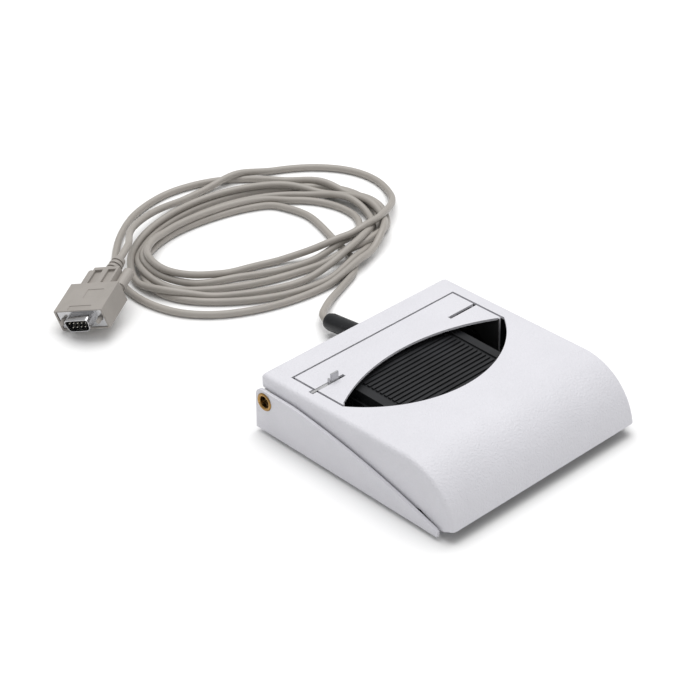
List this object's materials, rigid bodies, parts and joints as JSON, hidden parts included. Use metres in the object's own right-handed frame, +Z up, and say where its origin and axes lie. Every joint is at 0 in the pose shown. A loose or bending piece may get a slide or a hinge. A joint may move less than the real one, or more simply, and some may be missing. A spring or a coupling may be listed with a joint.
{
  "type": "foot control pedal",
  "caption": "Flat wedge-shaped office foot pedal with a rocking white metal cover, an eye-shaped opening with a ribbed toe pad, and a coiled lead with a D-sub plug.",
  "frame": {"origin": "On the floor, under the middle of the pedal's box, measured without the lead and plug.", "axes": "+Z up; the foot comes from -Y and the lead leaves the rear wall at +Y; +X is to the right of a person who uses the pedal."},
  "size_m": [0.2512, 0.3783, 0.0421],
  "materials": {
    "white_coat": "white textured powder coat",
    "brass": "plain",
    "steel": "bright zinc plate",
    "nickel": "bright tin or nickel plate",
    "black_rubber": "satin",
    "black_plastic": "fine texture",
    "black_steel": "black paint",
    "nylon": "natural nylon",
    "green_board": "solder resist",
    "grey_plastic": "fine texture",
    "lead_grey": "satin PVC"
  },
  "bodies": {
    "base": {"base_tray": "white_coat", "foot_front_left": "black_rubber", "foot_front_right": "black_rubber", "foot_rear_left": "black_rubber", "foot_rear_right": "black_rubber", "eyelet_left": "brass", "eyelet_right": "brass", "hinge_washer_left": "nylon", "hinge_washer_right": "nylon", "pad_rod": "steel", "rod_bracket_left": "steel", "rod_bracket_right": "steel", "pad_spring": "steel", "cover_spring_left": "steel", "cover_spring_right": "steel", "spring_post_left": "black_plastic", "spring_post_right": "black_plastic", "inner_liner": "black_plastic", "circuit_board": "green_board", "board_spacer_front_left": "nylon", "board_spacer_front_right": "nylon", "board_spacer_rear_left": "nylon", "board_spacer_rear_right": "nylon", "switch_pad_left": "black_plastic", "switch_pad_right": "black_plastic", "switch_cover": "black_plastic", "cable_clamp": "nylon", "clamp_screw": "steel", "strain_relief": "black_rubber", "lead_tail": "lead_grey", "lead_coil": "lead_grey", "plug_lead": "lead_grey", "plug_hood": "grey_plastic", "plug_shell": "nickel", "plug_insulator": "black_plastic", "contact_pins": "brass"},
    "cover": {"cover": "white_coat", "cover_actuator": "steel", "toe_plate_rod": "steel"},
    "toe_plate": {"toe_plate": "white_coat"},
    "lock_slide": {"lock_slide": "steel"},
    "toe_pad": {"ribbed_pad": "black_rubber", "pad_carrier": "black_steel"},
    "lever_pad_left": {"switch_lever_pad_left": "steel"},
    "lever_pad_right": {"switch_lever_pad_right": "steel"},
    "lever_cover": {"switch_lever_cover": "steel"},
    "thumbscrew_left": {"thumbscrew_left": "steel"},
    "thumbscrew_right": {"thumbscrew_right": "steel"}
  },
  "joints": [
    {"name": "cover_press", "type": "hinge", "parent": "base", "child": "cover", "pos_m": [0, 0.0663, 0.0219], "axis": [1, 0, 0], "range_deg": [0, 2], "stiffness_Nm_per_rad": 20, "springref_deg": -2.86, "deforming": ["cover_spring_left", "cover_spring_right"]},
    {"name": "toe_plate_lift", "type": "hinge", "parent": "cover", "child": "toe_plate", "pos_m": [0, 0.05089, 0.03374], "axis": [1, 0, 0], "range_deg": [-6, 0]},
    {"name": "lock_slide_travel", "type": "slide", "parent": "toe_plate", "child": "lock_slide", "axis": [1, 0, 0], "range_m": [0, 0.0042]},
    {"name": "toe_pad_press", "type": "hinge", "parent": "base", "child": "toe_pad", "pos_m": [0, 0.056, 0.019], "axis": [1, 0, 0], "range_deg": [0, 3], "stiffness_Nm_per_rad": 3, "springref_deg": -4.58},
    {"name": "lever_pad_left_press", "type": "hinge", "parent": "base", "child": "lever_pad_left", "pos_m": [-0.02, 0.022, 0.0205], "axis": [1, 0, 0], "range_deg": [0, 10], "stiffness_Nm_per_rad": 0.01, "springref_deg": -2.86},
    {"name": "lever_pad_right_press", "type": "hinge", "parent": "base", "child": "lever_pad_right", "pos_m": [0.02, 0.022, 0.0205], "axis": [1, 0, 0], "range_deg": [0, 10], "stiffness_Nm_per_rad": 0.01, "springref_deg": -2.86},
    {"name": "lever_cover_press", "type": "hinge", "parent": "base", "child": "lever_cover", "pos_m": [-0.056, 0.008, 0.0205], "axis": [1, 0, 0], "range_deg": [0, 10], "stiffness_Nm_per_rad": 0.01, "springref_deg": -2.86},
    {"name": "thumbscrew_left_turn", "type": "hinge", "parent": "base", "child": "thumbscrew_left", "pos_m": [-0.06242, 0.21141, 0.01794], "axis": [-0.8802, -0.4504, -0.1495], "continuous": true},
    {"name": "thumbscrew_right_turn", "type": "hinge", "parent": "base", "child": "thumbscrew_right", "pos_m": [-0.07237, 0.23321, 0.01084], "axis": [-0.8802, -0.4504, -0.1495], "continuous": true}
  ],
  "couplings": [
    {"joint": "lever_pad_left_press", "follows": "toe_pad_press", "ratio": 3.3},
    {"joint": "lever_pad_right_press", "follows": "toe_pad_press", "ratio": 3.3},
    {"joint": "lever_cover_press", "follows": "cover_press", "ratio": 4.8}
  ]
}
